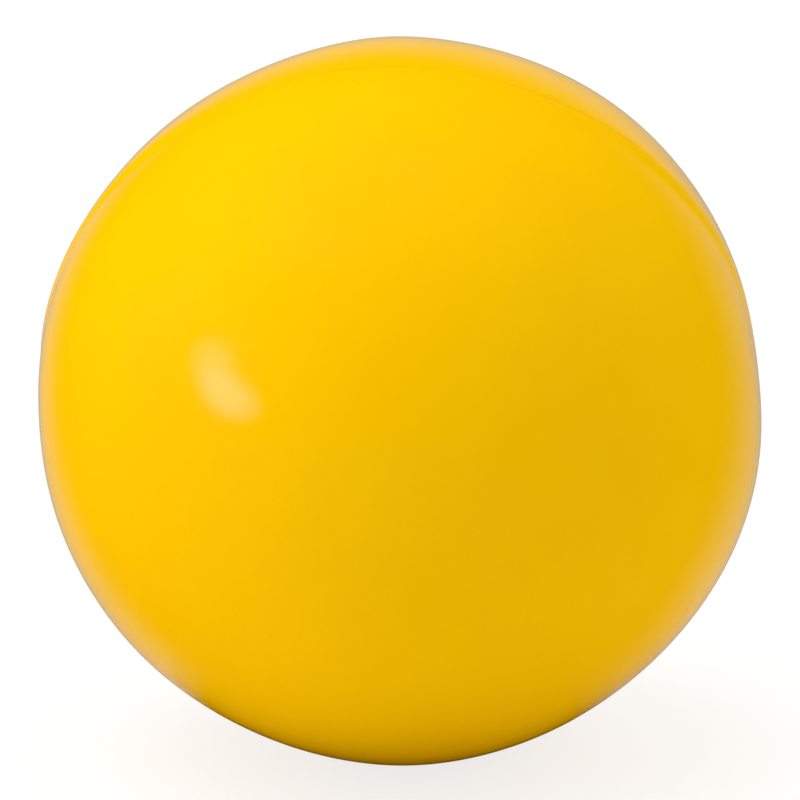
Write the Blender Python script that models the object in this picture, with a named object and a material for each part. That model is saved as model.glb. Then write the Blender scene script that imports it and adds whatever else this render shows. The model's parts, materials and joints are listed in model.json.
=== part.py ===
"""A foam stress ball: a springy moulded core inside a glossy skin that was made in two halves.

Every piece is turned about the mould axis, which runs from the rear pole to the front pole.  The axis
dips at the front, so the parting line crosses the top of the ball behind its front face and passes
under it behind the flat that the ball rests on.  Lengths are in metres, +Z is up, the front faces -Y,
and the origin is on the ground under the ball's centre.
"""

import math

import bmesh
import bpy

# Driving dimensions of the ball
BALL_DIAMETER = 0.070
AXIS_DIP = math.radians(15.0)
REST_FLAT_DIAMETER = 0.008

# Driving dimensions of the skin, the seam and the vent
SKIN_THICKNESS = 0.0012
SEAM_WIDTH = 0.0005
SEAM_CROWN = 0.00025
SEAM_SINK = 0.0001
RIM_ROUND = 0.0003
VENT_DIAMETER = 0.005
FIT_GAP = 0.0003

# How finely the round shapes are divided
TURN_STEPS = 60
MERIDIAN_STEPS = 14
ROUND_STEPS = 4
MERGE_DISTANCE = 1e-7
SHARP_ANGLE = math.radians(35.0)

# Sizes that follow from the driving dimensions
BALL_RADIUS = BALL_DIAMETER / 2
VENT_RADIUS = VENT_DIAMETER / 2
RIM_OFFSET = SEAM_WIDTH / 2 + FIT_GAP
SKIN_INNER_RADIUS = BALL_RADIUS - SKIN_THICKNESS
CORE_RADIUS = SKIN_INNER_RADIUS - FIT_GAP

SKIN_YELLOW = (0.87, 0.52, 0.005)
SEAM_YELLOW = (0.70, 0.38, 0.004)
FOAM_YELLOW = (0.83, 0.62, 0.16)


def clear_scene():
    """Removes whatever the scene holds."""
    for old in list(bpy.data.objects):
        bpy.data.objects.remove(old, do_unlink=True)


def meridian(radius, pole_end, seam_end):
    """(distance from the axis, height along it) of points on a sphere, from one latitude to another."""
    points = []
    for step in range(MERIDIAN_STEPS + 1):
        latitude = pole_end + (seam_end - pole_end) * step / MERIDIAN_STEPS
        points.append((radius * math.cos(latitude), radius * math.sin(latitude)))
    return points


def quarter_round(centre, radius, start_angle, direction):
    """Points of a quarter circle from a given angle, without its first.  Direction -1 takes the angle up."""
    points = []
    for step in range(1, ROUND_STEPS + 1):
        angle = start_angle - direction * math.pi / 2 * step / ROUND_STEPS
        points.append((centre[0] + radius * math.cos(angle), centre[1] + radius * math.sin(angle)))
    return points


def skin_profile(hole_radius):
    """Section of a half skin on the +Z side: down the outside, round the rim, and up the inside."""
    outer_top = math.acos(hole_radius / BALL_RADIUS)
    inner_top = math.acos(hole_radius / SKIN_INNER_RADIUS)
    outer_rim = math.asin((RIM_OFFSET + RIM_ROUND) / BALL_RADIUS)
    inner_rim = math.asin(RIM_OFFSET / SKIN_INNER_RADIUS)
    outside = meridian(BALL_RADIUS, outer_top, outer_rim)
    edge_x, edge_z = outside[-1]
    rim = quarter_round((edge_x - RIM_ROUND, edge_z), RIM_ROUND, 0.0, 1)
    inside = meridian(SKIN_INNER_RADIUS, inner_top, inner_rim)
    return outside + rim + inside[::-1]


def mirrored(profile):
    """The same section on the -Z side."""
    return [(x, -z) for x, z in profile]


def core_profile():
    """Section of the foam core, from the front pole to the flush end of the stub in the vent.

    The fillet at the stub's foot runs round the inner edge of the vent hole and keeps the same gap to it.
    """
    stub_radius = VENT_RADIUS - FIT_GAP
    stub_end = -math.sqrt(BALL_RADIUS**2 - stub_radius**2)
    front = meridian(CORE_RADIUS, math.pi / 2, 0.0)
    rear = mirrored(meridian(CORE_RADIUS, math.acos(VENT_RADIUS / CORE_RADIUS), 0.0))[::-1]
    foot_x, foot_z = rear[-1]
    fillet = quarter_round((foot_x, foot_z - FIT_GAP), FIT_GAP, math.pi / 2, -1)
    return front + rear[1:] + fillet + [(stub_radius, stub_end), (0.0, stub_end)]


def bead_profile():
    """Section of the bead between the two rims: straight sides, and a crown just under the skin."""
    half_width = SEAM_WIDTH / 2
    inner = CORE_RADIUS + FIT_GAP
    shoulder = BALL_RADIUS - SEAM_SINK - SEAM_CROWN
    crown = []
    for step in range(2 * ROUND_STEPS + 1):
        turn = math.pi / 2 * (1 - step / ROUND_STEPS)
        crown.append((shoulder + SEAM_CROWN * math.cos(turn), half_width * math.sin(turn)))
    return [(inner, half_width)] + crown + [(inner, -half_width)]


def turned_mesh(name, profile, closed):
    """A mesh turned about Z from a section.  A section that isn't closed has both ends on the axis."""
    shape = bmesh.new()
    corners = [shape.verts.new((x, 0.0, z)) for x, z in profile]
    for first, second in zip(corners, corners[1:]):
        shape.edges.new((first, second))
    if closed:
        shape.edges.new((corners[-1], corners[0]))
    bmesh.ops.spin(
        shape,
        geom=shape.verts[:] + shape.edges[:],
        cent=(0.0, 0.0, 0.0),
        axis=(0.0, 0.0, 1.0),
        angle=2 * math.pi,
        steps=TURN_STEPS,
        use_merge=True,
    )
    bmesh.ops.remove_doubles(shape, verts=shape.verts[:], dist=MERGE_DISTANCE)
    bmesh.ops.recalc_face_normals(shape, faces=shape.faces[:])
    mesh = bpy.data.meshes.new(name)
    shape.to_mesh(mesh)
    shape.free()
    mesh.shade_smooth()
    mesh.set_sharp_from_angle(angle=SHARP_ANGLE)
    return mesh


def plain_material(name, colour, roughness):
    """A material with one colour and one gloss."""
    material = bpy.data.materials.new(name)
    material.use_nodes = True
    shader = material.node_tree.nodes["Principled BSDF"]
    shader.inputs["Base Color"].default_value = (*colour, 1.0)
    shader.inputs["Roughness"].default_value = roughness
    shader.inputs["Metallic"].default_value = 0.0
    return material


def mould_axis():
    """An empty at the ball's centre, with its Z along the mould axis towards the front pole."""
    centre_height = math.sqrt(BALL_RADIUS**2 - (REST_FLAT_DIAMETER / 2) ** 2)
    axis = bpy.data.objects.new("mould_axis", None)
    axis.location = (0.0, 0.0, centre_height)
    axis.rotation_euler = (math.pi / 2 + AXIS_DIP, 0.0, 0.0)
    bpy.context.scene.collection.objects.link(axis)
    return axis


def turned_piece(name, profile, closed, axis, material):
    """A named piece of the ball, turned about the mould axis."""
    piece = bpy.data.objects.new(name, turned_mesh(name, profile, closed))
    piece.data.materials.append(material)
    piece.parent = axis
    bpy.context.scene.collection.objects.link(piece)
    return piece


def ground_cutter():
    """A slab under the ground, which trims what the ball's weight flattens."""
    shape = bmesh.new()
    bmesh.ops.create_cube(shape, size=BALL_DIAMETER)
    mesh = bpy.data.meshes.new("ground_cutter")
    shape.to_mesh(mesh)
    shape.free()
    cutter = bpy.data.objects.new("ground_cutter", mesh)
    cutter.location = (0.0, 0.0, -BALL_DIAMETER / 2)
    cutter.hide_render = True
    cutter.display_type = "WIRE"
    bpy.context.scene.collection.objects.link(cutter)
    return cutter


def flatten_on_ground(piece):
    """Gives a piece the flat that it rests on."""
    cut = piece.modifiers.new("rest_flat", "BOOLEAN")
    cut.operation = "DIFFERENCE"
    cut.solver = "EXACT"
    cut.object = ground_cutter()


def build():
    """Builds the ball, from the inside out."""
    clear_scene()
    axis = mould_axis()
    foam = plain_material("foam", FOAM_YELLOW, 0.9)
    front_gloss = plain_material("front_gloss", SKIN_YELLOW, 0.25)
    rear_gloss = plain_material("rear_gloss", SKIN_YELLOW, 0.25)
    seam_satin = plain_material("seam_satin", SEAM_YELLOW, 0.4)

    turned_piece("foam_core", core_profile(), False, axis, foam)
    front_skin = turned_piece("front_skin", skin_profile(0.0), False, axis, front_gloss)
    turned_piece("rear_skin", mirrored(skin_profile(VENT_RADIUS)), True, axis, rear_gloss)
    turned_piece("seam_bead", bead_profile(), True, axis, seam_satin)
    flatten_on_ground(front_skin)


build()
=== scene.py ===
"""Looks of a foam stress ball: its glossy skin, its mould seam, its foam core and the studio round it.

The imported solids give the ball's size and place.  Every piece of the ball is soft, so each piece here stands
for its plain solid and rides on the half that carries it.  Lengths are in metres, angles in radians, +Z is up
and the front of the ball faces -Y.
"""

import json
import logging
import math
from abc import ABC, abstractmethod
from dataclasses import dataclass
from enum import Enum
from typing import Any, ClassVar, Sequence

import bmesh
import bpy
from mathutils import Matrix, Vector, noise

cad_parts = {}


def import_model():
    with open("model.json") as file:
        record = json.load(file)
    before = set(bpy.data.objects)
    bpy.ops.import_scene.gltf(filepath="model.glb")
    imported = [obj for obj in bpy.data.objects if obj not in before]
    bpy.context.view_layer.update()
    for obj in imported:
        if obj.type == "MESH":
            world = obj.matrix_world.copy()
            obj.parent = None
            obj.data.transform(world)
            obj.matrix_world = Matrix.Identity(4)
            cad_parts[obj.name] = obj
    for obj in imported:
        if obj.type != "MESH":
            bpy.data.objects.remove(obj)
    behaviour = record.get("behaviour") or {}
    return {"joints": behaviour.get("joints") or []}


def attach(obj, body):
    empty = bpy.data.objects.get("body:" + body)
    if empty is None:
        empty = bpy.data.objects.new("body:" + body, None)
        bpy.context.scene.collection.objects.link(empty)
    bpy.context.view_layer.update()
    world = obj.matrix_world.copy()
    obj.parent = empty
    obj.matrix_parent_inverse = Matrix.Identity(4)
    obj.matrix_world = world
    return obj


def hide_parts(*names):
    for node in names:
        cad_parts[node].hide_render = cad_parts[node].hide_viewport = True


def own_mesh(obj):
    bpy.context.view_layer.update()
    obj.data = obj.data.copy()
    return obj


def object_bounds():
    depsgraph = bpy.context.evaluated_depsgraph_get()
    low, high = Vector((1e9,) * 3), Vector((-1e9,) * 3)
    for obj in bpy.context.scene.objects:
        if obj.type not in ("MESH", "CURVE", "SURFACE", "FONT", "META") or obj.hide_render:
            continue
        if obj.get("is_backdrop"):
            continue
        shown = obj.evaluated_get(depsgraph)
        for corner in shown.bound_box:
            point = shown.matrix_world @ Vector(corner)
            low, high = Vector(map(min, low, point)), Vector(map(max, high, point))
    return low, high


LOG = logging.getLogger("stress_ball")

Colour = tuple[float, float, float]
Place = tuple[float, float, float]
Ends = tuple[float, float]
SectionPoint = tuple[float, float]

QUARTER_TURN = math.pi / 2
FULL_TURN = 2 * math.pi
MERGE_DISTANCE = 1e-8
NONE_TO_ALL: Ends = (0.0, 1.0)
ALL_TO_NONE: Ends = (1.0, 0.0)
WHITE: Colour = (1.0, 1.0, 1.0)


class Half(Enum):
    """The two halves that the mould makes, with the way that each one faces along the mould axis."""

    FRONT = 1
    REAR = -1

    @property
    def body(self) -> str:
        """Name of the body that carries this half."""
        return f"{self.name.lower()}_half"

    @property
    def skin_node(self) -> str:
        """Name of the plain solid of this half's skin."""
        return f"{self.name.lower()}_skin"


class Slot(Enum):
    """The record's material slots."""

    FOAM = "foam"
    SKIN = "skin"
    SEAM = "seam"


def bell(offset: float, reach: float) -> float:
    """Height of a bell curve at an offset: 1 in its middle, and about 0.6 at its reach."""
    return math.exp(-0.5 * (offset / reach) ** 2)


def eased(share: float) -> float:
    """A share from 0 to 1, made to start and end gently."""
    return share * share * (3.0 - 2.0 * share)


def longitudes(turns: int) -> list[float]:
    """Even steps once round the mould axis."""
    return [FULL_TURN * turn / turns for turn in range(turns)]


@dataclass(frozen=True)
class PartingRidge:
    """The low ridge that the mould left at both sides, steep in front and long behind.

    It fades away over the top and underneath, and it is trimmed off where it crosses the right side and, more
    briefly, the left side.  A fine groove runs all the way round, just behind the parting plane.

    Attributes:
        height: How far the whole ridge stands proud.
        front_reach: Latitude over which it falls away in front.
        rear_reach: Latitude over which it falls away behind.
        fade: Shares of the way out to the side at which it starts and is whole.
        right_trim: Longitude over which it is trimmed at the right.
        left_trim: Longitude over which it is trimmed at the left.
        groove_depth: Depth of the groove.
        groove_reach: Latitude over which the groove rises to the skin.
    """

    height: float = 0.00027
    front_reach: float = math.radians(1.7)
    rear_reach: float = math.radians(6.5)
    fade: Ends = (0.40, 0.70)
    right_trim: float = math.radians(12.0)
    left_trim: float = math.radians(6.0)
    groove_depth: float = 0.00003
    groove_reach: float = math.radians(0.5)

    def rise(self, latitude: float, longitude: float) -> float:
        """How far the outside stands proud of the sphere at a place.

        Args:
            latitude: Angle from the parting plane.
            longitude: Angle round the mould axis from the ball's right side.

        Returns:
            The height, which is negative in the groove.
        """
        start, whole = self.fade
        sideways = (abs(math.cos(longitude)) - start) / (whole - start)
        side_share = eased(min(1.0, max(0.0, sideways)))
        right_share = 1.0 - bell(math.remainder(longitude, FULL_TURN), self.right_trim)
        left_share = 1.0 - bell(math.remainder(longitude - math.pi, FULL_TURN), self.left_trim)
        reach = self.front_reach if latitude > 0.0 else self.rear_reach
        ridge = self.height * side_share * right_share * left_share * math.exp(-((latitude / reach) ** 2))
        if latitude > 0.0:
            return ridge
        return ridge - self.groove_depth * math.exp(latitude / self.groove_reach)


@dataclass(frozen=True)
class Lump:
    """A soft swelling of the ball's outside, or a hollow if its height is negative."""

    towards: Vector
    height: float
    reach: float

    def rise(self, direction: Vector) -> float:
        """How far it lifts the outside in a direction from the ball's centre."""
        return self.height * bell(direction.angle(self.towards), self.reach)


@dataclass(frozen=True)
class BallForm:
    """The ball's outside: nearly a sphere, turned about a mould axis that dips at the front."""

    radius: float
    centre: Vector
    axis_dip: float = math.radians(15.0)
    ridge: PartingRidge = PartingRidge()
    ripple_height: float = 0.00004
    ripple_rate: float = 1.7
    ripple_start: Vector = Vector((3.1, 7.4, 1.9))
    lumps: tuple[Lump, ...] = (
        Lump(towards=Vector((0.93, -0.07, -0.35)), height=0.00017, reach=math.radians(11.0)),
        Lump(towards=Vector((0.61, -0.19, -0.77)), height=-0.00010, reach=math.radians(10.0)),
        Lump(towards=Vector((0.05, -0.28, -0.96)), height=0.00011, reach=math.radians(8.0)),
        Lump(towards=Vector((-0.43, -0.28, -0.85)), height=-0.00015, reach=math.radians(11.0)),
        Lump(towards=Vector((-0.99, -0.13, -0.04)), height=-0.00015, reach=math.radians(8.0)),
        Lump(towards=Vector((-0.83, 0.02, 0.56)), height=-0.00017, reach=math.radians(8.0)),
        Lump(towards=Vector((-0.46, 0.12, 0.88)), height=-0.00030, reach=math.radians(13.0)),
        Lump(towards=Vector((-0.05, 0.17, 0.98)), height=0.00013, reach=math.radians(6.0)),
        Lump(towards=Vector((0.59, 0.17, 0.79)), height=0.00019, reach=math.radians(12.0)),
        Lump(towards=Vector((0.98, 0.06, 0.18)), height=-0.00056, reach=math.radians(10.0)),
    )

    @classmethod
    def in_box(cls, low: Vector, high: Vector) -> "BallForm":
        """Takes the ball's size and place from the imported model's box.

        Args:
            low: The box's lowest corner.
            high: The box's highest corner.

        Returns:
            The ball's form.
        """
        radius = (high.x - low.x) / 2
        centre = Vector(((low.x + high.x) / 2, (low.y + high.y) / 2, high.z - radius))
        return cls(radius, centre)

    def radius_at(self, latitude: float, longitude: float) -> float:
        """Distance of the outside from the ball's centre, with its lumps, its ripple and its ridge.

        Args:
            latitude: Angle from the parting plane.
            longitude: Angle round the mould axis from the ball's right side.

        Returns:
            The distance from the ball's centre.
        """
        direction = self.place((math.cos(latitude), math.sin(latitude)), longitude) - self.centre
        lumps = sum(lump.rise(direction) for lump in self.lumps)
        ripple = self.ripple_height * noise.noise(direction * self.ripple_rate + self.ripple_start)
        return self.radius + lumps + ripple + self.ridge.rise(latitude, longitude)

    def outside_point(self, latitude: float, longitude: float) -> SectionPoint:
        """Section point on the outside.

        Args:
            latitude: Angle from the parting plane.
            longitude: Angle round the mould axis.

        Returns:
            The distance from the mould axis and the height along it, towards the front.
        """
        reach = self.radius_at(latitude, longitude)
        return reach * math.cos(latitude), reach * math.sin(latitude)

    def inside_point(self, latitude: float, depth: float) -> SectionPoint:
        """Section point on a true sphere inside the ball.

        Args:
            latitude: Angle from the parting plane.
            depth: Distance of that sphere under the ball's mean outside.

        Returns:
            The distance from the mould axis and the height along it, towards the front.
        """
        reach = self.radius - depth
        return reach * math.cos(latitude), reach * math.sin(latitude)

    def place(self, point: SectionPoint, longitude: float) -> Vector:
        """World place of a section point.

        Args:
            point: The distance from the mould axis and the height along it.
            longitude: Angle round the mould axis.

        Returns:
            The place in the frame.
        """
        from_axis, along = point
        across = from_axis * math.cos(longitude)
        upward = from_axis * math.sin(longitude)
        dip_sine = math.sin(self.axis_dip)
        dip_cosine = math.cos(self.axis_dip)
        backward = -upward * dip_sine - along * dip_cosine
        height = upward * dip_cosine - along * dip_sine
        return self.centre + Vector((across, backward, height))


@dataclass(frozen=True)
class Squeeze:
    """How the ball flattens as its halves are pressed together."""

    joint: str
    axis: Vector
    travel: float
    form: BallForm

    @property
    def keep(self) -> float:
        """Share of the ball's depth that is left when it is fully squeezed."""
        return 1.0 - self.travel / (2.0 * self.form.radius)

    def fit(self, piece: bpy.types.Object, half: Half) -> None:
        """Makes a piece ride on a half.

        Args:
            piece: The finished piece.
            half: The half that carries it.
        """
        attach(piece, half.body)
        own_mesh(piece)


class NodeBench:
    """A node tree that is being made, with plain calls to add and join its nodes."""

    def __init__(self, tree: bpy.types.NodeTree) -> None:
        """Takes up a tree."""
        self.tree = tree

    def node(self, kind: str, **settings: Any) -> bpy.types.Node:
        """Adds a node.

        Args:
            kind: The node's type.
            **settings: Properties of the node to set.

        Returns:
            The new node.
        """
        made = self.tree.nodes.new(kind)
        for key, value in settings.items():
            setattr(made, key, value)
        return made

    def join(self, source: bpy.types.NodeSocket, target: bpy.types.NodeSocket) -> None:
        """Links one socket to another."""
        self.tree.links.new(source, target)

    def span(
        self, source: bpy.types.NodeSocket, taken: Ends, given: Ends, course: str = "LINEAR"
    ) -> bpy.types.NodeSocket:
        """Stretches one range of values onto another, and stops at its ends.

        Args:
            source: The values to stretch.
            taken: The range to read.
            given: The range to give.
            course: How the values run between the ends.

        Returns:
            The stretched values.
        """
        made = self.node("ShaderNodeMapRange", interpolation_type=course)
        made.inputs["From Min"].default_value, made.inputs["From Max"].default_value = taken
        made.inputs["To Min"].default_value, made.inputs["To Max"].default_value = given
        self.join(source, made.inputs["Value"])
        return made.outputs["Result"]

    def reckon(
        self, operation: str, first: bpy.types.NodeSocket, second: bpy.types.NodeSocket | float
    ) -> bpy.types.NodeSocket:
        """Works out a sum, a product or the like.

        Args:
            operation: What the maths node does.
            first: Its first value.
            second: Its second value, from a socket or as a number.

        Returns:
            The outcome.
        """
        made = self.node("ShaderNodeMath", operation=operation)
        self.join(first, made.inputs[0])
        if isinstance(second, float):
            made.inputs[1].default_value = second
        else:
            self.join(second, made.inputs[1])
        return made.outputs["Value"]

    def measure(self, operation: str, first: bpy.types.NodeSocket, second: Vector) -> bpy.types.NodeSocket:
        """Compares a vector with a fixed one, as a distance or a dot product.

        Args:
            operation: What the vector maths node does.
            first: The vector to compare.
            second: The fixed vector.

        Returns:
            The outcome.
        """
        made = self.node("ShaderNodeVectorMath", operation=operation)
        made.inputs[1].default_value = second
        self.join(first, made.inputs[0])
        return made.outputs["Value"]


class FinishSheet(NodeBench):
    """A material that is being made, whose patterns follow the piece's own mesh."""

    def __init__(self, name: str) -> None:
        """Starts a material.

        Args:
            name: The material's name.
        """
        self.material = bpy.data.materials.new(name)
        self.material.use_nodes = True
        super().__init__(self.material.node_tree)
        self.shader = self.tree.nodes["Principled BSDF"]
        self.spot = self.node("ShaderNodeTexCoord").outputs["Object"]

    def cloud(self, size: float, detail: float = 2.0) -> bpy.types.NodeSocket:
        """Soft noise.

        Args:
            size: Length of one patch.
            detail: How many finer layers it has.

        Returns:
            The noise's value, about 0.5 on the whole.
        """
        made = self.node("ShaderNodeTexNoise")
        made.inputs["Scale"].default_value = 1.0 / size
        made.inputs["Detail"].default_value = detail
        self.join(self.spot, made.inputs["Vector"])
        return made.outputs["Fac"]

    def cells(self, size: float) -> bpy.types.NodeSocket:
        """Distance from the middle of round cells.

        Args:
            size: Distance between neighbouring cells.

        Returns:
            The distance, as a share of the cell's size.
        """
        made = self.node("ShaderNodeTexVoronoi")
        made.inputs["Scale"].default_value = 1.0 / size
        self.join(self.spot, made.inputs["Vector"])
        return made.outputs["Distance"]

    def mottle(self, share: bpy.types.NodeSocket, first: Colour, second: Colour) -> None:
        """Colours the shader with two colours.

        Args:
            share: How much of the second colour shows.
            first: The colour at 0.
            second: The colour at 1.
        """
        made = self.node("ShaderNodeMix", data_type="RGBA")
        colours = {socket.identifier: socket for socket in made.inputs}
        colours["A_Color"].default_value = (*first, 1.0)
        colours["B_Color"].default_value = (*second, 1.0)
        self.join(share, made.inputs["Factor"])
        result = next(socket for socket in made.outputs if socket.identifier == "Result_Color")
        self.join(result, self.shader.inputs["Base Color"])

    def relief(self, height: bpy.types.NodeSocket, rise: float, strength: float) -> None:
        """Raises the shader's surface.

        Args:
            height: The pattern of heights, from 0 to 1.
            rise: What a height of 1 measures.
            strength: How strongly it shows.
        """
        made = self.node("ShaderNodeBump")
        made.inputs["Distance"].default_value = rise
        made.inputs["Strength"].default_value = strength
        self.join(height, made.inputs["Height"])
        self.join(made.outputs["Normal"], self.shader.inputs["Normal"])


@dataclass(frozen=True)
class Finish(ABC):
    """A finish of the ball's surfaces, which makes one material."""

    name: str

    @abstractmethod
    def paint(self, sheet: FinishSheet) -> None:
        """Gives a new material its colours, its gloss and its relief."""

    def material(self) -> bpy.types.Material:
        """Makes the material.

        Returns:
            The finished material.
        """
        sheet = FinishSheet(self.name)
        self.paint(sheet)
        return sheet.material


@dataclass(frozen=True)
class SkinFinish(Finish):
    """Glossy moulded skin: one strong yellow, faintly clouded, with a little orange peel."""

    name: str = "skin_gloss"
    yellow: Colour = (0.88, 0.495, 0.0)
    deep_yellow: Colour = (0.865, 0.475, 0.0)
    noise_range: Ends = (0.3, 0.7)
    cloud_size: float = 0.016
    rub_size: float = 0.006
    rub_detail: float = 3.0
    gloss: Ends = (0.055, 0.08)
    peel_size: float = 0.0009
    peel_detail: float = 1.0
    peel_height: float = 0.00002
    peel_strength: float = 0.15
    refraction: float = 1.40

    def paint(self, sheet: FinishSheet) -> None:
        """Clouds the yellow, rubs the gloss unevenly and adds the orange peel.

        Args:
            sheet: The new material.
        """
        clouds = sheet.span(sheet.cloud(self.cloud_size), self.noise_range, NONE_TO_ALL)
        sheet.mottle(clouds, self.yellow, self.deep_yellow)
        rubbing = sheet.span(sheet.cloud(self.rub_size, self.rub_detail), self.noise_range, self.gloss)
        sheet.join(rubbing, sheet.shader.inputs["Roughness"])
        sheet.relief(sheet.cloud(self.peel_size, self.peel_detail), self.peel_height, self.peel_strength)
        sheet.shader.inputs["IOR"].default_value = self.refraction


@dataclass(frozen=True)
class SeamFinish(Finish):
    """The seam's bead: the same skin, a little deeper in colour and duller where it was trimmed."""

    name: str = "seam_satin"
    yellow: Colour = (0.865, 0.475, 0.0)
    deep_yellow: Colour = (0.80, 0.43, 0.0)
    nick_size: float = 0.0016
    nick_detail: float = 3.0
    colour_range: Ends = (0.4, 0.7)
    gloss_range: Ends = (0.3, 0.7)
    gloss: Ends = (0.25, 0.4)
    nick_height: float = 0.00003
    nick_strength: float = 0.4
    refraction: float = 1.40

    def paint(self, sheet: FinishSheet) -> None:
        """Lets the trimming's nicks set the colour, the gloss and the relief.

        Args:
            sheet: The new material.
        """
        nicks = sheet.cloud(self.nick_size, self.nick_detail)
        sheet.mottle(sheet.span(nicks, self.colour_range, NONE_TO_ALL), self.yellow, self.deep_yellow)
        sheet.join(sheet.span(nicks, self.gloss_range, self.gloss), sheet.shader.inputs["Roughness"])
        sheet.relief(nicks, self.nick_height, self.nick_strength)
        sheet.shader.inputs["IOR"].default_value = self.refraction


@dataclass(frozen=True)
class FoamFinish(Finish):
    """Cut foam: pale, matt and full of small cells."""

    name: str = "foam_matt"
    pale_yellow: Colour = (0.86, 0.60, 0.12)
    # painted shade: the darker yellow of the sunk cell hollows
    cell_shade_yellow: Colour = (0.62, 0.36, 0.04)
    cell_size: float = 0.00045
    wall_range: Ends = (0.15, 0.6)
    wall_height: float = 0.00012
    wall_strength: float = 0.8
    roughness: float = 0.92

    def paint(self, sheet: FinishSheet) -> None:
        """Sinks cells between pale walls and paints them darker, as painted shade in the cell hollows.

        Args:
            sheet: The new material.
        """
        walls = sheet.span(sheet.cells(self.cell_size), self.wall_range, NONE_TO_ALL)
        # painted shade: the sunk cells take the darker yellow, the walls the pale one
        sheet.mottle(walls, self.cell_shade_yellow, self.pale_yellow)
        sheet.relief(walls, self.wall_height, self.wall_strength)
        sheet.shader.inputs["Roughness"].default_value = self.roughness


def turned_mesh(name: str, sections: Sequence[Sequence[Vector]], closed: bool) -> bpy.types.Mesh:
    """Joins sections that follow each other round the mould axis into one closed surface.

    Args:
        name: The mesh's name.
        sections: World points of each section, all of one length.
        closed: True if a section is a loop, and False if both of its ends lie on the axis.

    Returns:
        The mesh, smooth, with its faces pointing out.
    """
    points = [point for section in sections for point in section]
    length = len(sections[0])
    faces = []
    for turn in range(len(sections)):
        here = turn * length
        there = (turn + 1) % len(sections) * length
        for step in range(length if closed else length - 1):
            onward = (step + 1) % length
            faces.append((here + step, here + onward, there + onward, there + step))
    mesh = bpy.data.meshes.new(name)
    mesh.from_pydata(points, [], faces)
    shape = bmesh.new()
    shape.from_mesh(mesh)
    bmesh.ops.remove_doubles(shape, verts=shape.verts[:], dist=MERGE_DISTANCE)
    bmesh.ops.dissolve_degenerate(shape, edges=shape.edges[:], dist=MERGE_DISTANCE)
    bmesh.ops.recalc_face_normals(shape, faces=shape.faces[:])
    shape.to_mesh(mesh)
    shape.free()
    mesh.shade_smooth()
    return mesh


def shown(name: str, mesh: bpy.types.Mesh, material: bpy.types.Material) -> bpy.types.Object:
    """Puts a dressed mesh in the scene.

    Args:
        name: The object's name.
        mesh: Its mesh.
        material: Its only material.

    Returns:
        The new object.
    """
    mesh.materials.append(material)
    made = bpy.data.objects.new(name, mesh)
    bpy.context.scene.collection.objects.link(made)
    return made


def quarter_round(
    centre: SectionPoint, radius: float, start: float, steps: int, turn: int
) -> list[SectionPoint]:
    """Section points of a quarter circle, without its first.

    Args:
        centre: The circle's middle.
        radius: The circle's radius.
        start: The angle of its first point.
        steps: How many points it has.
        turn: 1 to go up in angle, -1 to go down.

    Returns:
        The points, in order.
    """
    points = []
    for step in range(1, steps + 1):
        angle = start + turn * QUARTER_TURN * step / steps
        points.append((centre[0] + radius * math.cos(angle), centre[1] + radius * math.sin(angle)))
    return points


@dataclass(frozen=True)
class SeamSizes:
    """Sizes that the skins, the bead and the core share where they meet."""

    skin_thickness: float = 0.0012
    bead_half_width: float = 0.00006
    bead_clearance: float = 0.000006
    rim_round: float = 0.00004
    crown_depth: float = 0.000006
    crown_rise: float = 0.00002
    core_clearance: float = 0.0001
    vent_radius: float = 0.0025
    vent_round: float = 0.0002
    vent_clearance: float = 0.00008

    @property
    def rim_offset(self) -> float:
        """Distance of a skin's rim from the parting plane."""
        return self.bead_half_width + self.bead_clearance


@dataclass
class SoftPiece(ABC):
    """One soft piece of the ball, which stands for a plain solid and rides on a half."""

    form: BallForm
    sizes: SeamSizes
    half: Half = Half.FRONT

    slot: ClassVar[Slot]

    @property
    @abstractmethod
    def node(self) -> str:
        """Name of the plain solid that the piece stands for."""

    @abstractmethod
    def build(self) -> bpy.types.Mesh:
        """Makes the piece's mesh, which has the piece's name."""

    def dress(self, material: bpy.types.Material, squeeze: Squeeze) -> bpy.types.Object:
        """Puts the piece in the scene, on its half.

        Args:
            material: The piece's material.
            squeeze: How the ball flattens.

        Returns:
            The finished piece.
        """
        mesh = self.build()
        piece = shown(mesh.name, mesh, material)
        squeeze.fit(piece, self.half)
        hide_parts(self.node)
        return piece


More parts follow.
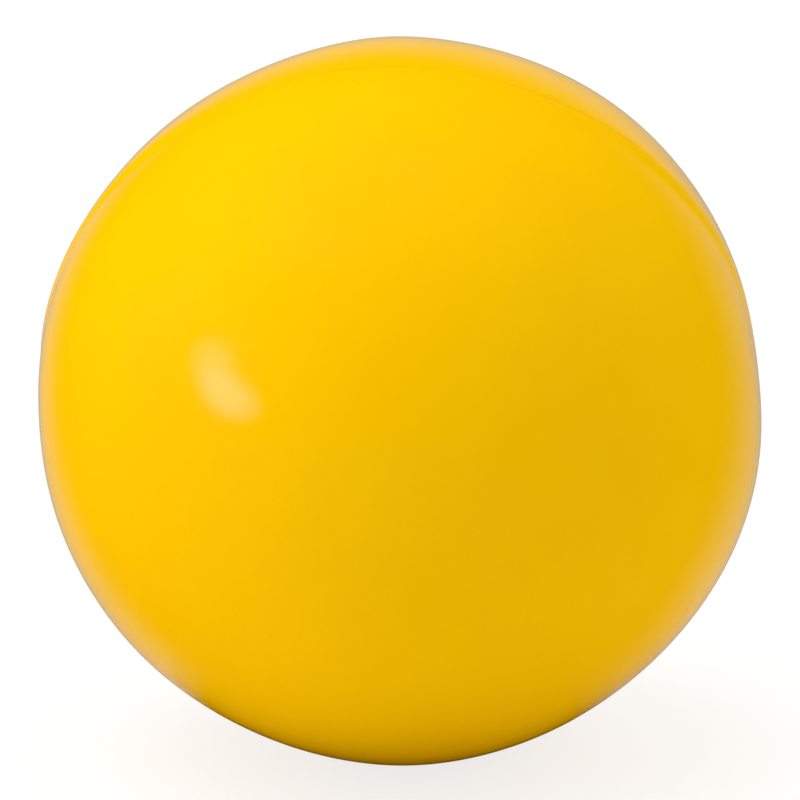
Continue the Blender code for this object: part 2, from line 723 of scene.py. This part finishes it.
@dataclass
class SkinHalf(SoftPiece):
    """One half of the skin: a thin shell with a rounded rim at the seam and, at the rear, a vent hole."""

    turns: int = 440
    outer_steps: int = 110
    inner_steps: int = 24
    round_steps: int = 4
    rim_crowding: float = 1.5
    ground: float = 0.0

    slot: ClassVar[Slot] = Slot.SKIN

    @property
    def node(self) -> str:
        """Name of the plain solid that the shell stands for."""
        return self.half.skin_node

    def latitudes(self, pole_end: float, rim_end: float, steps: int) -> list[float]:
        """Latitudes from the pole to the rim, close together at the rim.

        Args:
            pole_end: The first latitude.
            rim_end: The last latitude.
            steps: How many steps lie between them.

        Returns:
            The latitudes, in order.
        """
        shares = [(1.0 - step / steps) ** self.rim_crowding for step in range(steps + 1)]
        return [rim_end + (pole_end - rim_end) * share for share in shares]

    def section(self, longitude: float) -> list[SectionPoint]:
        """Section of the shell on the front side: down the outside, round the rim and up the inside.

        Args:
            longitude: Angle round the mould axis.

        Returns:
            The section's points, which the rear half mirrors.
        """
        sizes = self.sizes
        facing = self.half.value
        hole = sizes.vent_radius if self.half is Half.REAR else 0.0
        outer_hole = hole + sizes.vent_round if hole else 0.0
        radius = self.form.radius
        outer_top = math.acos(outer_hole / radius)
        outer_rim = math.asin((sizes.rim_offset + sizes.rim_round) / radius)
        inner_top = math.acos(hole / (radius - sizes.skin_thickness))
        inner_rim = math.asin(sizes.rim_offset / (radius - sizes.skin_thickness))

        outside = []
        for latitude in self.latitudes(outer_top, outer_rim, self.outer_steps):
            from_axis, along = self.form.outside_point(latitude * facing, longitude)
            outside.append((from_axis, along * facing))
        edge_x, edge_z = outside[-1]
        corner = (edge_x - sizes.rim_round, edge_z)
        rim = quarter_round(corner, sizes.rim_round, 0.0, self.round_steps, -1)
        inside = []
        for latitude in self.latitudes(inner_top, inner_rim, self.inner_steps):
            inside.append(self.form.inside_point(latitude, sizes.skin_thickness))
        lip = []
        if hole:
            lip_x, lip_z = outside[0]
            middle = (lip_x, lip_z - sizes.vent_round)
            lip = quarter_round(middle, sizes.vent_round, QUARTER_TURN, self.round_steps, 1)[::-1]
        return lip + outside + rim + inside[::-1]

    def build(self) -> bpy.types.Mesh:
        """Makes the shell's mesh, pressed flat where it rests on the ground.

        Returns:
            The mesh.
        """
        sections = []
        for longitude in longitudes(self.turns):
            points = []
            for from_axis, along in self.section(longitude):
                point = self.form.place((from_axis, along * self.half.value), longitude)
                point.z = max(point.z, self.ground)
                points.append(point)
            sections.append(points)
        return turned_mesh(f"moulded_{self.node}", sections, closed=self.half is Half.REAR)


@dataclass
class SeamBead(SoftPiece):
    """The thin bead of skin that was pressed out between the halves of the mould and trimmed."""

    turns: int = 720
    crown_steps: int = 3
    nick_depth: float = 0.000025
    nick_rate: float = 420.0
    nick_start: Vector = Vector((0.7, 2.3, 5.1))

    slot: ClassVar[Slot] = Slot.SEAM

    @property
    def node(self) -> str:
        """Name of the plain solid that the bead stands for."""
        return "seam_bead"

    def nick(self, longitude: float) -> float:
        """How deep the trimming cut at a place round the ball.

        Args:
            longitude: Angle round the mould axis.

        Returns:
            The depth, which is 0 at most places.
        """
        spot = self.form.place((self.form.radius, 0.0), longitude)
        roughness = noise.noise(spot * self.nick_rate + self.nick_start)
        return self.nick_depth * max(0.0, roughness)

    def section(self, longitude: float) -> list[SectionPoint]:
        """Section of the bead: two straight sides and a low crown.

        Args:
            longitude: Angle round the mould axis.

        Returns:
            The section's points, as a loop.
        """
        sizes = self.sizes
        outer = self.form.radius_at(0.0, longitude) - sizes.crown_depth - self.nick(longitude)
        inner = self.form.radius - sizes.skin_thickness
        half_width = sizes.bead_half_width
        shoulder = outer - sizes.crown_rise
        crown = []
        for step in range(2 * self.crown_steps + 1):
            angle = QUARTER_TURN * (1.0 - step / self.crown_steps)
            crown.append((shoulder + sizes.crown_rise * math.cos(angle), half_width * math.sin(angle)))
        return [(inner, half_width)] + crown + [(inner, -half_width)]

    def build(self) -> bpy.types.Mesh:
        """Makes the bead's mesh.

        Returns:
            The mesh.
        """
        sections = []
        for longitude in longitudes(self.turns):
            sections.append([self.form.place(point, longitude) for point in self.section(longitude)])
        return turned_mesh("trimmed_seam_bead", sections, closed=True)


@dataclass
class FoamCore(SoftPiece):
    """The springy foam that fills the skin, with the trimmed stub that shows in the vent."""

    turns: int = 160
    meridian_steps: int = 60
    round_steps: int = 4
    stub_rings: int = 24
    stub_sink: float = 0.00012
    stub_edge: float = 0.00015
    pore_size: float = 0.0006
    pore_depth: float = 0.00022
    pore_width: float = 0.42

    slot: ClassVar[Slot] = Slot.FOAM

    @property
    def node(self) -> str:
        """Name of the plain solid that the core stands for."""
        return "foam_core"

    def pore(self, place: Vector) -> float:
        """How deep a cut cell is at a place on the stub's end.

        Args:
            place: The place in the frame.

        Returns:
            The depth, which is 0 on the walls between the cells.
        """
        distances, _ = noise.voronoi(place / self.pore_size)
        share = max(0.0, 1.0 - distances[0] / self.pore_width)
        return self.pore_depth * share * (2.0 - share)

    def section(self) -> list[SectionPoint]:
        """Section of the core, from the front pole to the middle of the stub's end, which is still smooth.

        Returns:
            The section's points, whose last are the rings of the stub's end.
        """
        sizes = self.sizes
        depth = sizes.skin_thickness + sizes.core_clearance
        stub_radius = sizes.vent_radius - sizes.vent_clearance
        foot = math.acos((stub_radius + sizes.vent_round) / (self.form.radius - depth))
        points = []
        for step in range(self.meridian_steps + 1):
            latitude = QUARTER_TURN - (QUARTER_TURN + foot) * step / self.meridian_steps
            points.append(self.form.inside_point(latitude, depth))
        foot_x, foot_z = points[-1]
        foot_middle = (foot_x, foot_z - sizes.vent_round)
        points += quarter_round(foot_middle, sizes.vent_round, QUARTER_TURN, self.round_steps, 1)
        end = self.form.inside_point(-QUARTER_TURN, self.stub_sink)[1]
        edge_x = stub_radius - self.stub_edge
        edge_z = end + self.stub_edge
        points.append((stub_radius, edge_z))
        points += quarter_round((edge_x, edge_z), self.stub_edge, 0.0, self.round_steps, -1)
        for ring in range(1, self.stub_rings + 1):
            points.append((edge_x * (1.0 - ring / self.stub_rings), end))
        return points

    def build(self) -> bpy.types.Mesh:
        """Makes the core's mesh, with cut cells in the stub's end.

        Returns:
            The mesh.
        """
        inward = self.form.place((0.0, 1.0), 0.0) - self.form.place((0.0, 0.0), 0.0)
        section = self.section()
        sections = []
        for longitude in longitudes(self.turns):
            points = [self.form.place(point, longitude) for point in section]
            for index in range(len(points) - self.stub_rings, len(points)):
                points[index] = points[index] + inward * self.pore(points[index])
            sections.append(points)
        return turned_mesh("springy_foam_core", sections, closed=False)

    def dress(self, material: bpy.types.Material, squeeze: Squeeze) -> bpy.types.Object:
        """Puts the core in the scene, on its half.

        Args:
            material: The foam's material.
            squeeze: How the ball flattens.

        Returns:
            The finished piece.
        """
        piece = super().dress(material, squeeze)
        return piece


@dataclass(frozen=True)
class PhotoCamera:
    """The photograph's camera, placed by the ball's outline in the picture.

    Attributes:
        form: The ball that it looks at.
        azimuth: How far it stands to the right of the ball's front.
        elevation: How far it looks down.
        distance: How far it stands from the ball's centre.
        aim: How far it is moved to the right and up from the line to the ball's centre.
        frame_pixels: Width of the picture.
        outline_pixels: Radius of the ball's outline in the picture.
        sensor: Width of the sensor, in millimetres.
        near_limit: Distance at which its view starts.
    """

    form: BallForm
    azimuth: float = math.radians(3.9)
    elevation: float = math.radians(13.2)
    distance: float = 0.35
    aim: tuple[float, float] = (-0.00003, 0.00009)
    frame_pixels: float = 800.0
    outline_pixels: float = 363.7
    sensor: float = 36.0
    near_limit: float = 0.01

    @property
    def axes(self) -> Matrix:
        """The camera's own directions in the frame.

        Returns:
            Its right, up and back directions, as columns.
        """
        turn, tilt = self.azimuth, self.elevation
        right = Vector((math.cos(turn), math.sin(turn), 0.0))
        back = Vector((math.sin(turn) * math.cos(tilt), -math.cos(turn) * math.cos(tilt), math.sin(tilt)))
        return Matrix((right, back.cross(right), back)).transposed()

    @property
    def focal_length(self) -> float:
        """Focal length that gives the outline its size in the picture.

        Returns:
            The focal length, in millimetres.
        """
        half_angle = math.asin(self.form.radius / self.distance)
        focal_pixels = self.outline_pixels / math.tan(half_angle)
        return focal_pixels * self.sensor / self.frame_pixels

    def direction(self, right_up_back: Place) -> Vector:
        """Direction in the frame of one given by the camera's right, up and back, with a length of 1."""
        return (self.axes @ Vector(right_up_back)).normalized()

    def build(self) -> bpy.types.Object:
        """Makes the camera and gives it to the scene.

        Returns:
            The camera.
        """
        lens = bpy.data.cameras.new("photo_camera")
        lens.sensor_width = self.sensor
        lens.lens = self.focal_length
        lens.clip_start = self.near_limit
        camera = bpy.data.objects.new("photo_camera", lens)
        pose = self.axes.to_4x4()
        pose.translation = self.form.centre + self.axes @ Vector((*self.aim, self.distance))
        camera.matrix_world = pose
        bpy.context.scene.collection.objects.link(camera)
        bpy.context.scene.camera = camera
        return camera


@dataclass(frozen=True)
class SoftLamp:
    """An oval soft lamp that faces the ball.

    Attributes:
        name: Its name.
        towards: Its direction from the ball's centre, by the camera's right, up and back directions.
        power: Its power in watts.
        distance: Its distance from the ball's centre.
        sides: Its longer and its shorter width.
        lean: How far it is turned about the line to the ball.
        core: Share of its size that is evenly bright.  It fades from there to its edge.
        tint: The colour of its light.
        mirrored: Whether it shows in the ball's gloss.
    """

    name: str
    towards: Place
    power: float
    distance: float = 0.9
    sides: tuple[float, float] = (1.0, 1.0)
    lean: float = 0.0
    core: float = 0.9
    tint: Colour = WHITE
    mirrored: bool = False

    def light(self) -> bpy.types.AreaLight:
        """Makes the lamp's light, which fades towards its edge.

        Places on the lamp run from 0 to 1 across each of its widths.

        Returns:
            The light.
        """
        light = bpy.data.lights.new(self.name, "AREA")
        light.shape = "ELLIPSE"
        light.size, light.size_y = self.sides
        light.energy = self.power
        light.color = self.tint
        light.use_nodes = True
        bench = NodeBench(light.node_tree)
        spot = bench.node("ShaderNodeNewGeometry").outputs["Parametric"]
        half = 0.5
        from_middle = bench.measure("DISTANCE", spot, Vector((half, half, 0.0)))
        fading = bench.span(from_middle, (half * self.core, half), ALL_TO_NONE, "SMOOTHSTEP")
        bench.join(fading, light.node_tree.nodes["Emission"].inputs["Strength"])
        return light

    def pose(self, camera: PhotoCamera) -> Matrix:
        """Place of the lamp, and the way that it faces.

        Args:
            camera: The camera that the lamp is placed by.

        Returns:
            The lamp's matrix.
        """
        outward = camera.direction(self.towards)
        level = camera.axes @ Vector((0.0, 1.0, 0.0))
        across = level.cross(outward).normalized()
        upright = outward.cross(across)
        facing = Matrix((across, upright, outward)).transposed().to_4x4()
        pose = facing @ Matrix.Rotation(self.lean, 4, "Z")
        pose.translation = camera.form.centre + outward * self.distance
        return pose

    def build(self, camera: PhotoCamera) -> bpy.types.Object:
        """Puts the lamp in the scene, out of the camera's sight.

        Args:
            camera: The camera that the lamp is placed by.

        Returns:
            The lamp.
        """
        lamp = bpy.data.objects.new(self.name, self.light())
        lamp.matrix_world = self.pose(camera)
        lamp.visible_camera = False
        lamp.visible_glossy = self.mirrored
        bpy.context.scene.collection.objects.link(lamp)
        return lamp


@dataclass(frozen=True)
class FloorSpot:
    """A round place on the floor, which is even in its middle and fades to its edge.

    Attributes:
        middle: Its middle.
        reach: Radius of its even part, and the radius at which it ends.
    """

    middle: Place
    reach: Ends

    def fade(self, bench: NodeBench, place: bpy.types.NodeSocket, ends: Ends) -> bpy.types.NodeSocket:
        """Values that run from its even part to its edge.

        Args:
            bench: The floor's node tree.
            place: The place on the floor.
            ends: The values in its even part and past its edge.

        Returns:
            The values.
        """
        distance = bench.measure("DISTANCE", place, Vector(self.middle))
        return bench.span(distance, self.reach, ends)


@dataclass(frozen=True)
class FloorShade(FloorSpot):
    """A shaded place, as it shows in the ball's gloss, with the share of the room that is left in it."""

    left: float


@dataclass(frozen=True)
class FloorBounce(FloorSpot):
    """A place that throws light up at the ball, with its glow, and that neither camera nor gloss shows."""

    glow: float


@dataclass(frozen=True)
class BackdropEdge:
    """A soft round edge of the pale backdrop that the ball mirrors.

    Attributes:
        middle: Direction of its middle, by the camera's right, up and back directions.
        angles: Angles from the middle at which the backdrop ends and is whole.
    """

    middle: Place
    angles: Ends

    def inside(
        self, bench: NodeBench, direction: bpy.types.NodeSocket, camera: PhotoCamera
    ) -> bpy.types.NodeSocket:
        """Share of the backdrop that this edge leaves.

        Args:
            bench: The room's node tree.
            direction: The direction that is looked in.
            camera: The camera that the edge is placed by.

        Returns:
            The share.
        """
        ending, whole = self.angles
        facing = bench.measure("DOT_PRODUCT", direction, camera.direction(self.middle))
        return bench.span(facing, (math.cos(ending), math.cos(whole)), NONE_TO_ALL, "SMOOTHSTEP")


@dataclass(frozen=True)
class Studio:
    """The room round the ball: a white floor and background, even light, a backdrop to mirror and soft lamps.

    Attributes:
        camera: The camera.
        floor_size: Length of the floor's sides.
        floor_grey: How pale the floor is to the ball.
        floor_grey_seen: How pale it is to the camera, which leaves room for its glow.
        floor_glow: Light of the floor's own that falls on the ball.
        floor_glow_seen: Light of the floor's own that the camera sees.
        bounces: Places on the floor that throw more light up at the ball.
        shades: Places on the floor that are dark in the ball's gloss.
        room_light: The room's light from across the camera's line of sight and from along it.
        background: The room's brightness to the camera.
        backdrop_level: The backdrop's brightness in the ball's gloss.
        backdrop_edges: What bounds the backdrop.
        highlight_tint: The colour of the two lamps that make the highlight.
        highlight_distance: Their distance from the ball's centre.
    """

    camera: PhotoCamera
    floor_size: float = 6.0
    floor_grey: float = 0.80
    floor_grey_seen: float = 0.21
    floor_glow: float = 0.0535
    floor_glow_seen: float = 0.78
    bounces: tuple[FloorBounce, ...] = (
        FloorBounce(middle=(0.055, 0.0, 0.0), reach=(0.025, 0.035), glow=0.5),
        FloorBounce(middle=(0.0, -0.006, 0.0), reach=(0.010, 0.024), glow=0.08),
        FloorBounce(middle=(-0.022, -0.012, 0.0), reach=(0.004, 0.016), glow=0.20),
        FloorBounce(middle=(0.022, -0.012, 0.0), reach=(0.004, 0.016), glow=0.20),
    )
    shades: tuple[FloorShade, ...] = (
        FloorShade(middle=(-0.001, -0.010, 0.0), reach=(0.022, 0.030), left=0.0),
        FloorShade(middle=(0.028, -0.009, 0.0), reach=(0.001, 0.034), left=0.28),
    )
    room_light: Ends = (1.305, 0.072)
    background: float = 1.0
    backdrop_level: float = 0.386
    backdrop_edges: tuple[BackdropEdge, ...] = (
        BackdropEdge(middle=(0.006, 0.044, -1.0), angles=(math.radians(61.7), math.radians(24.3))),
        BackdropEdge(middle=(0.282, -0.331, -1.0), angles=(math.radians(69.0), math.radians(42.7))),
    )
    highlight_tint: Colour = (0.86, 0.78, 1.0)
    highlight_distance: float = 0.431

    def lamps(self) -> list[SoftLamp]:
        """The soft lamps: two that make the highlight, and two broad ones that only light the ball.

        Returns:
            The lamps.
        """
        low = SoftLamp(
            name="low_softbox",
            towards=(-0.786, 0.032, 0.617),
            power=0.265,
            distance=self.highlight_distance,
            sides=(0.215, 0.118),
            lean=math.radians(-21.3),
            core=0.18,
            tint=self.highlight_tint,
            mirrored=True,
        )
        high = SoftLamp(
            name="high_softbox",
            towards=(-0.832, 0.171, 0.528),
            power=0.147,
            distance=self.highlight_distance,
            sides=(0.172, 0.130),
            lean=math.radians(-14.9),
            core=0.02,
            tint=self.highlight_tint,
            mirrored=True,
        )
        top = SoftLamp(name="top_softbox", towards=(-0.25, 0.92, 0.30), power=4.74)
        left = SoftLamp(name="left_softbox", towards=(-0.90, 0.10, 0.30), power=2.30)
        return [low, high, top, left]

    def floor_material(self) -> bpy.types.Material:
        """Makes the floor's material, which is white to the camera apart from the ball's shadow.

        In the ball's gloss the floor is dark in its shades, and the room shows through it further out.

        Returns:
            The material.
        """
        material = bpy.data.materials.new("studio_floor")
        material.use_nodes = True
        tree = material.node_tree
        tree.nodes.remove(tree.nodes["Principled BSDF"])
        bench = NodeBench(tree)
        ray = bench.node("ShaderNodeLightPath").outputs
        place = bench.node("ShaderNodeNewGeometry").outputs["Position"]
        unseen = bench.span(ray["Is Camera Ray"], NONE_TO_ALL, ALL_TO_NONE)
        unmirrored = bench.span(ray["Is Glossy Ray"], NONE_TO_ALL, ALL_TO_NONE)

        grey = bench.span(ray["Is Camera Ray"], NONE_TO_ALL, (self.floor_grey, self.floor_grey_seen))
        paint = bench.node("ShaderNodeBsdfDiffuse")
        bench.join(bench.reckon("MULTIPLY", grey, unmirrored), paint.inputs["Color"])

        glow = bench.span(ray["Is Camera Ray"], NONE_TO_ALL, (self.floor_glow, self.floor_glow_seen))
        for bounce in self.bounces:
            thrown = bounce.fade(bench, place, (bounce.glow, 0.0))
            glow = bench.reckon("ADD", glow, bench.reckon("MULTIPLY", thrown, unseen))
        lift = bench.node("ShaderNodeEmission")
        bench.join(bench.reckon("MULTIPLY", glow, unmirrored), lift.inputs["Strength"])

        opened = ray["Is Glossy Ray"]
        for shade in self.shades:
            opened = bench.reckon("MULTIPLY", opened, shade.fade(bench, place, (shade.left, 1.0)))
        white = bench.node("ShaderNodeAddShader")
        bench.join(paint.outputs["BSDF"], white.inputs[0])
        bench.join(lift.outputs["Emission"], white.inputs[1])
        opening = bench.node("ShaderNodeMixShader")
        bench.join(opened, opening.inputs["Fac"])
        bench.join(white.outputs["Shader"], opening.inputs[1])
        bench.join(bench.node("ShaderNodeBsdfTransparent").outputs["BSDF"], opening.inputs[2])
        bench.join(opening.outputs["Shader"], tree.nodes["Material Output"].inputs["Surface"])
        return material

    def build_floor(self) -> bpy.types.Object:
        """Puts the floor in the scene.

        Returns:
            The floor.
        """
        half = self.floor_size / 2
        mesh = bpy.data.meshes.new("studio_floor")
        corners = [(-half, -half, 0.0), (half, -half, 0.0), (half, half, 0.0), (-half, half, 0.0)]
        mesh.from_pydata(corners, [], [(0, 1, 2, 3)])
        floor = shown("studio_floor", mesh, self.floor_material())
        floor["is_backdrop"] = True
        return floor

    def build_room(self) -> bpy.types.World:
        """Makes the room's soft light, which comes from all round the camera's line of sight.

        The room is white to the camera.  In the ball's gloss it is dark, with a pale backdrop behind the
        ball.

        Returns:
            The world.
        """
        world = bpy.data.worlds.new("studio_room")
        world.use_nodes = True
        bench = NodeBench(world.node_tree)
        ray = bench.node("ShaderNodeLightPath").outputs
        direction = bench.node("ShaderNodeTexCoord").outputs["Generated"]

        mirrored = ray["Is Glossy Ray"]
        for edge in self.backdrop_edges:
            mirrored = bench.reckon("MULTIPLY", mirrored, edge.inside(bench, direction, self.camera))
        along = bench.measure("DOT_PRODUCT", direction, self.camera.axes @ Vector((0.0, 0.0, -1.0)))
        lit = bench.span(bench.reckon("MULTIPLY", along, along), NONE_TO_ALL, self.room_light)
        level = bench.node("ShaderNodeMix")
        bench.join(ray["Is Glossy Ray"], level.inputs["Factor"])
        bench.join(lit, level.inputs["A"])
        bench.join(bench.reckon("MULTIPLY", mirrored, self.backdrop_level), level.inputs["B"])

        shown_white = bench.reckon("MAXIMUM", ray["Is Camera Ray"], ray["Is Transmission Ray"])
        seen = bench.node("ShaderNodeMix")
        bench.join(shown_white, seen.inputs["Factor"])
        bench.join(level.outputs["Result"], seen.inputs["A"])
        seen.inputs["B"].default_value = self.background
        shader = world.node_tree.nodes["Background"]
        shader.inputs["Color"].default_value = (*WHITE, 1.0)
        bench.join(seen.outputs["Result"], shader.inputs["Strength"])
        bpy.context.scene.world = world
        return world

    def build(self) -> None:
        """Makes the camera, the floor, the room and the lamps."""
        self.camera.build()
        self.build_floor()
        self.build_room()
        for lamp in self.lamps():
            lamp.build(self.camera)
        bpy.context.scene.view_settings.view_transform = "Standard"


def main() -> None:
    """Builds the ball and the studio, and reports each piece."""
    logging.basicConfig(level=logging.INFO, format="%(name)s: %(message)s")
    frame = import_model()
    cad_low, cad_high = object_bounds()

    form = BallForm.in_box(cad_low, cad_high)
    joint = frame["joints"][0]
    squeeze = Squeeze(joint["name"], Vector(joint["axis"]), max(joint["range_m"]), form)
    Studio(PhotoCamera(form)).build()

    sizes = SeamSizes()
    skin = SkinFinish().material()
    makers = [
        (SkinHalf(form, sizes, Half.FRONT), skin),
        (SkinHalf(form, sizes, Half.REAR), skin),
        (SeamBead(form, sizes), SeamFinish().material()),
        (FoamCore(form, sizes), FoamFinish().material()),
    ]
    for maker, material in makers:
        piece = maker.dress(material, squeeze)
        LOG.info("%s: %d faces", piece.name, len(piece.data.polygons))


if __name__ == "__main__":
    main()
